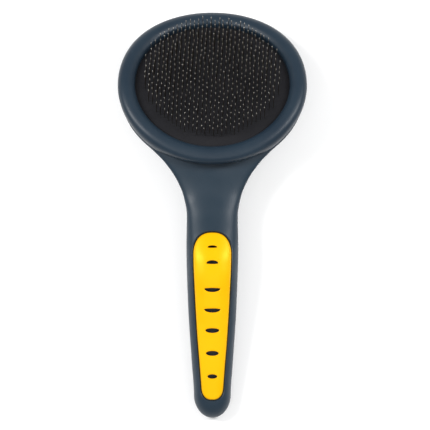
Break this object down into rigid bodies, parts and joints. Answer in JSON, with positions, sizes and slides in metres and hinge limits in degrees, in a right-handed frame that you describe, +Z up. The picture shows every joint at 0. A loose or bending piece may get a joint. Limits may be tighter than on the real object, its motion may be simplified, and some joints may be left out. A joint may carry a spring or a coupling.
{
  "type": "slicker brush",
  "caption": "Pet slicker brush: oval head of bent wire pins on a cushioned pad, soft rim, and an angled handle with a slotted thumb grip.",
  "frame": {"origin": "middle of the bounding box at the surface that the brush lies on, pins up", "axes": "+Y from the handle's end to the head's tip, +Z up, away from the surface and out of the pins, +X across the brush"},
  "size_m": [0.1, 0.2184, 0.0484],
  "materials": {
    "body": "slate-blue soft-touch moulding, matte, with a slight sheen",
    "rim": "slate-blue soft rubber, satin, smooth",
    "grip": "bright yellow soft rubber, satin",
    "foundation": "charcoal rubber sheet, matte, fine grain",
    "foam": "grey closed-cell foam",
    "frame": "black glass-filled plastic",
    "wire": "bright spring-steel wire"
  },
  "bodies": {
    "root": {"rear_cover": "body", "front_cover": "body", "head_rim": "rim", "thumb_grip": "grip", "core_frame": "frame", "pad_plate": "frame", "pad_foam": "foam", "pin_foundation": "foundation", "pin_column_01": "wire", "pin_column_02": "wire", "pin_column_03": "wire", "pin_column_04": "wire", "pin_column_05": "wire", "pin_column_06": "wire", "pin_column_07": "wire", "pin_column_08": "wire", "pin_column_09": "wire", "pin_column_10": "wire", "pin_column_11": "wire", "pin_column_12": "wire", "pin_column_13": "wire", "pin_column_14": "wire", "pin_column_15": "wire", "pin_column_16": "wire", "pin_column_17": "wire", "pin_column_18": "wire", "pin_column_19": "wire", "pin_column_20": "wire", "pin_column_21": "wire", "pin_column_22": "wire", "pin_column_23": "wire", "pin_column_24": "wire", "pin_column_25": "wire", "pin_column_26": "wire", "pin_column_27": "wire", "pin_column_28": "wire", "pin_column_29": "wire", "pin_column_30": "wire", "pin_column_31": "wire", "pin_column_32": "wire", "pin_column_33": "wire"}
  },
  "joints": []
}
